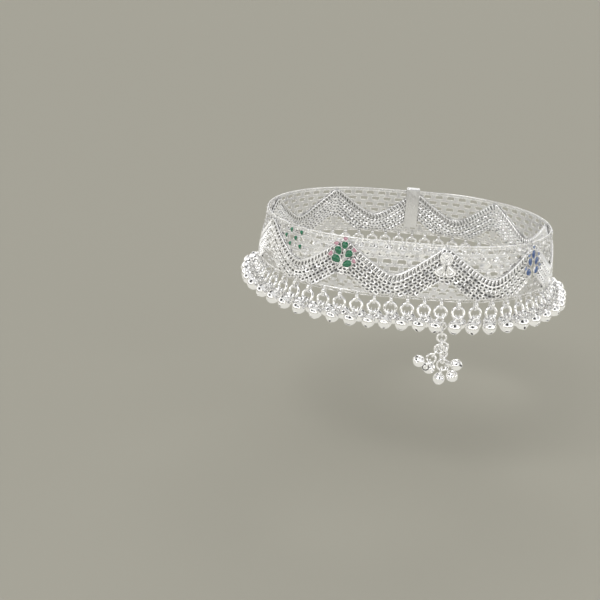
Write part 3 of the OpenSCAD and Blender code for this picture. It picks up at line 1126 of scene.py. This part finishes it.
def make_camera():
    """The photo's view: the camera's place round the anklet and where its middle falls in the frame."""
    azimuth, elevation, roll = (math.radians(a) for a in (-3.2, 14.98, 5.65))
    distance = 0.28
    focal_px = 855
    middle_px = Vector((405.3, 237.7))
    frame_px = 600
    forward = -Vector((
        math.sin(azimuth) * math.cos(elevation),
        -math.cos(azimuth) * math.cos(elevation),
        math.sin(elevation)))
    level = Vector((math.cos(azimuth), math.sin(azimuth), 0))
    up = level.cross(forward)
    right = level * math.cos(roll) + up * math.sin(roll)
    top = up * math.cos(roll) - level * math.sin(roll)
    straight = Matrix((right, top, -forward)).transposed()
    seen = Vector((middle_px.x - frame_px / 2, frame_px / 2 - middle_px.y, -focal_px)).normalized()
    aside = seen.rotation_difference(Vector((0, 0, -1))).to_matrix()
    bpy.ops.object.camera_add()
    camera = named("camera")
    camera.matrix_world = Matrix.Translation(-forward * distance) @ (straight @ aside).to_4x4()
    camera.data.sensor_width = 36
    camera.data.lens = 36 * focal_px / frame_px
    camera.data.clip_start = 0.01
    bpy.context.scene.camera = camera


def make_sky():
    """A pale tent all round with a few dark openings, which the silver mirrors as small dark marks."""
    world = bpy.data.worlds.new("studio")
    bpy.context.scene.world = world
    world.use_nodes = True
    tree = world.node_tree
    place = tree.nodes.new("ShaderNodeTexCoord")
    tree.nodes["Background"].inputs["Color"].default_value = (1, 1, 1, 1)
    shade = tree.nodes["Background"].inputs["Strength"]
    last = None
    for bearing, height, width in TENT_OPENINGS:
        way = turn(bearing, "Z") @ turn(-height, "X") @ FRONT
        facing = tree.nodes.new("ShaderNodeVectorMath")
        facing.operation = "DOT_PRODUCT"
        facing.inputs[1].default_value = way
        tree.links.new(place.outputs["Generated"], facing.inputs[0])
        edge = tree.nodes.new("ShaderNodeMapRange")
        edge.interpolation_type = "SMOOTHSTEP"
        edge.inputs["From Min"].default_value = math.cos(math.radians(width + TENT_BLUR))
        edge.inputs["From Max"].default_value = math.cos(math.radians(width - TENT_BLUR))
        edge.inputs["To Min"].default_value = 1
        edge.inputs["To Max"].default_value = TENT_DARK
        tree.links.new(facing.outputs["Value"], edge.inputs["Value"])
        both = tree.nodes.new("ShaderNodeMath")
        both.operation = "MULTIPLY"
        tree.links.new(edge.outputs["Result"], both.inputs[0])
        if last:
            tree.links.new(last, both.inputs[1])
        else:
            both.inputs[1].default_value = TENT_GLOW
        last = both.outputs[0]
    tree.links.new(last, shade)


def make_stage():
    make_floor()
    make_sky()
    for name, values in SUNS.items():
        make_sun(name, *values)
    for i in range(CARDS):
        make_card(i * 360 / CARDS)
    make_glow()
    bpy.context.scene.view_settings.view_transform = "Standard"


def make_anklet():
    finishes = make_finishes()
    make_mail(finishes)
    make_ladder(finishes)
    make_core(finishes)
    make_edge_wires(finishes)
    make_edging("top_edging", NET_TILES * WAVES, trough(0), TOP_EDGING_Z, TOP_EDGING_PULL, finishes)
    make_edging("low_edging", UNITS, unit(0.5), LOW_EDGING_Z, LOW_EDGING_PULL, finishes)
    make_net(finishes)
    make_low_net(finishes)
    make_hangers(finishes)
    make_fringe("outer_bells", -1, outer_splay, None, finishes)
    make_fringe("inner_bells", 1, inner_splay, TASSEL_UNIT, finishes)
    make_jump_rings(finishes)
    make_tassel_links(finishes)
    make_tassel_bells(finishes)
    make_sprigs(finishes)
    make_net_leaves(finishes)
    trefoils = {"front": 0, "right": 2, "back_right": 3, "back_left": 5, "left": 6}
    for side, wave in trefoils.items():
        make_trefoil("trefoil_" + side, wave, finishes)
    make_clasp(finishes)


make_stage()
make_camera()
make_anklet()
